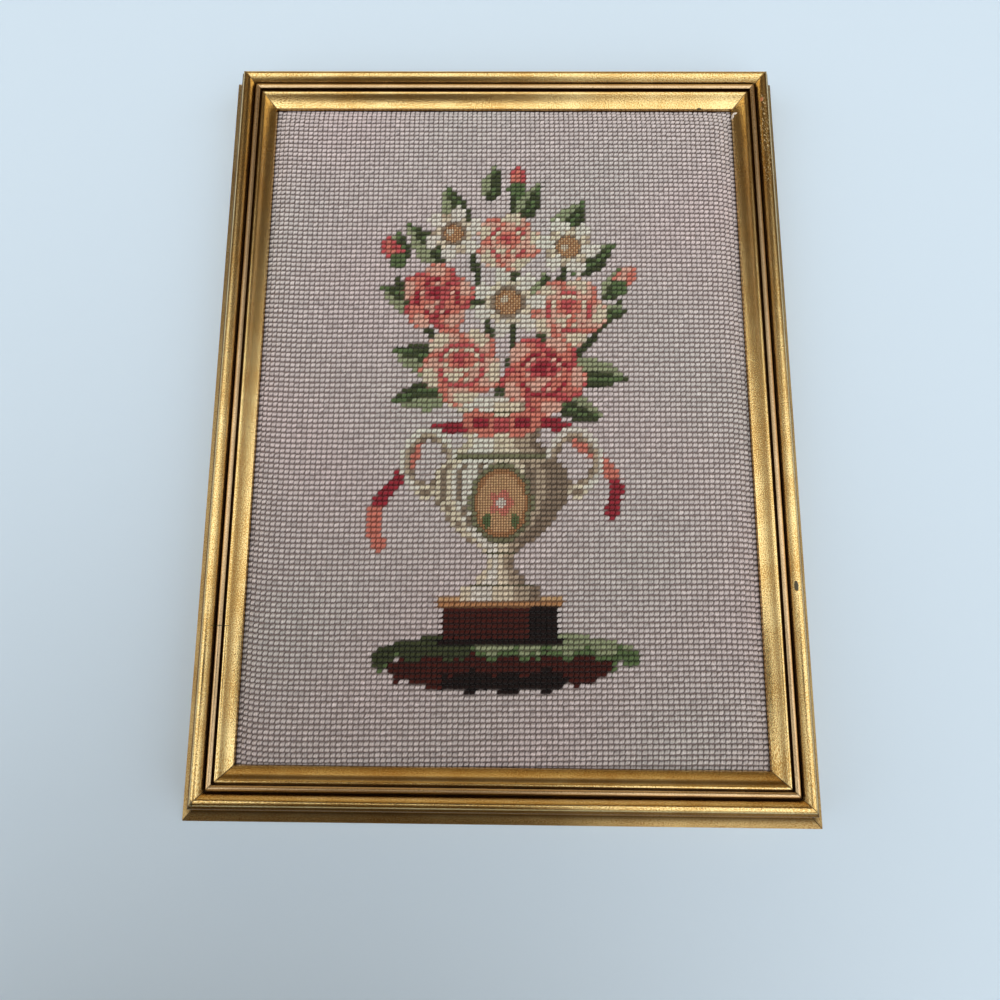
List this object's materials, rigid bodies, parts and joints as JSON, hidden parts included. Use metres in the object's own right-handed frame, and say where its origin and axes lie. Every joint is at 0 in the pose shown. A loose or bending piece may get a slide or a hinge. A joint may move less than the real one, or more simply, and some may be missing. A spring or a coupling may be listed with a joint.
{
  "type": "framed needlepoint picture with its gilt wood frame",
  "caption": "Wool tent-stitch needlepoint picture stretched flat in a mitred gilt wood moulding with a hollow, a flat reed and a rounded bead.",
  "frame": {"origin": "middle of the frame's flat back, which is the lowest face as the picture lies face up", "axes": "+Z out of the picture's face, +Y towards the picture's top, +X towards the picture's right as seen from the front"},
  "size_m": [0.2912, 0.3832, 0.025],
  "materials": {
    "gilt": "wood moulding covered in worn gilt, with dark brown grooves",
    "wool": "wool tent stitch on canvas, mauve-grey ground",
    "board": "plain brown hardboard"
  },
  "bodies": {
    "root": {"rail_top": "gilt", "rail_bottom": "gilt", "rail_left": "gilt", "rail_right": "gilt", "needlepoint": "wool", "backing_board": "board"}
  },
  "joints": []
}
